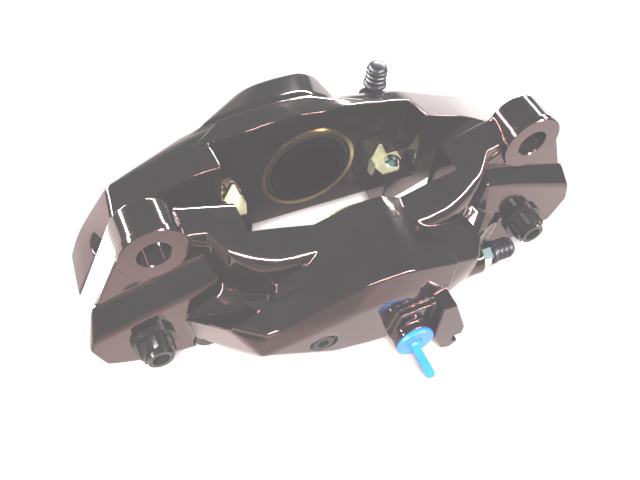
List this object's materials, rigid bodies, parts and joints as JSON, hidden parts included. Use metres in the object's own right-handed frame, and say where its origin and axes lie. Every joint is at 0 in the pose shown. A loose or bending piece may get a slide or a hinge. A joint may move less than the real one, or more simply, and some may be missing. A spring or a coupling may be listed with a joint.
{
  "type": "brake caliper",
  "caption": "Fixed two-piece disc brake caliper with opposed pistons, pad window, body bolts, bleed screws, sealed inlet port and two drilled mounting ears.",
  "frame": {"origin": "midway between the two mounting holes, on the plane of the machined ear faces", "axes": "+X along the caliper from one ear to the other, +Y from the inboard half to the outboard half, +Z towards the hub"},
  "size_m": [0.25, 0.1515, 0.092],
  "materials": {
    "black_casting": "gloss black paint over a cast surface",
    "bare_spacer": "milled, unpainted",
    "piston_steel": "ground and plated",
    "seal_rubber": "smooth",
    "boot_rubber": "moulded, semi-matt",
    "yellow_zinc": "yellow zinc plate",
    "black_bolt": "black zinc plate",
    "abutment_plate": "bright stainless strip with a pale gold tint",
    "bright_screw": "bright zinc plate",
    "cap_rubber": "moulded, semi-matt",
    "blue_plastic": "moulded polyethylene"
  },
  "bodies": {
    "caliper": {"inboard_half": "black_casting", "outboard_half": "black_casting", "left_spacer": "bare_spacer", "right_spacer": "bare_spacer", "inboard_piston_seal": "seal_rubber", "outboard_piston_seal": "seal_rubber", "inboard_dust_boot": "boot_rubber", "outboard_dust_boot": "boot_rubber", "inboard_boot_ring": "yellow_zinc", "outboard_boot_ring": "yellow_zinc", "outer_body_bolts": "black_bolt", "inner_body_bolts": "black_bolt", "crossover_seals": "seal_rubber", "passage_plug": "black_bolt", "inboard_left_abutment": "abutment_plate", "inboard_right_abutment": "abutment_plate", "outboard_left_abutment": "abutment_plate", "outboard_right_abutment": "abutment_plate", "abutment_screws": "bright_screw"},
    "inboard_piston": {"inboard_piston": "piston_steel"},
    "outboard_piston": {"outboard_piston": "piston_steel"},
    "inboard_bleeder": {"inboard_bleed_screw": "bright_screw"},
    "outboard_bleeder": {"outboard_bleed_screw": "bright_screw"},
    "inboard_cap": {"inboard_bleed_cap": "cap_rubber"},
    "outboard_cap": {"outboard_bleed_cap": "cap_rubber"},
    "plug": {"inlet_plug": "blue_plastic"}
  },
  "joints": [
    {"name": "inboard_piston_slide", "type": "slide", "parent": "caliper", "child": "inboard_piston", "axis": [0, 1, 0], "range_m": [0, 0.012]},
    {"name": "outboard_piston_slide", "type": "slide", "parent": "caliper", "child": "outboard_piston", "axis": [0, -1, 0], "range_m": [0, 0.012]},
    {"name": "inboard_bleed_turn", "type": "hinge", "parent": "caliper", "child": "inboard_bleeder", "pos_m": [0.062, -0.02, -0.05], "axis": [1, 0, 0], "range_deg": [0, 180]},
    {"name": "outboard_bleed_turn", "type": "hinge", "parent": "caliper", "child": "outboard_bleeder", "pos_m": [0.047, 0.074, -0.02], "axis": [0, 0, 1], "range_deg": [0, 180]},
    {"name": "inboard_cap_pull", "type": "slide", "parent": "inboard_bleeder", "child": "inboard_cap", "axis": [1, 0, 0], "range_m": [0, 0.007]},
    {"name": "outboard_cap_pull", "type": "slide", "parent": "outboard_bleeder", "child": "outboard_cap", "axis": [0, 0, 1], "range_m": [0, 0.009]},
    {"name": "inlet_plug_pull", "type": "slide", "parent": "caliper", "child": "plug", "axis": [0, -1, 0], "range_m": [0, 0.02]}
  ]
}
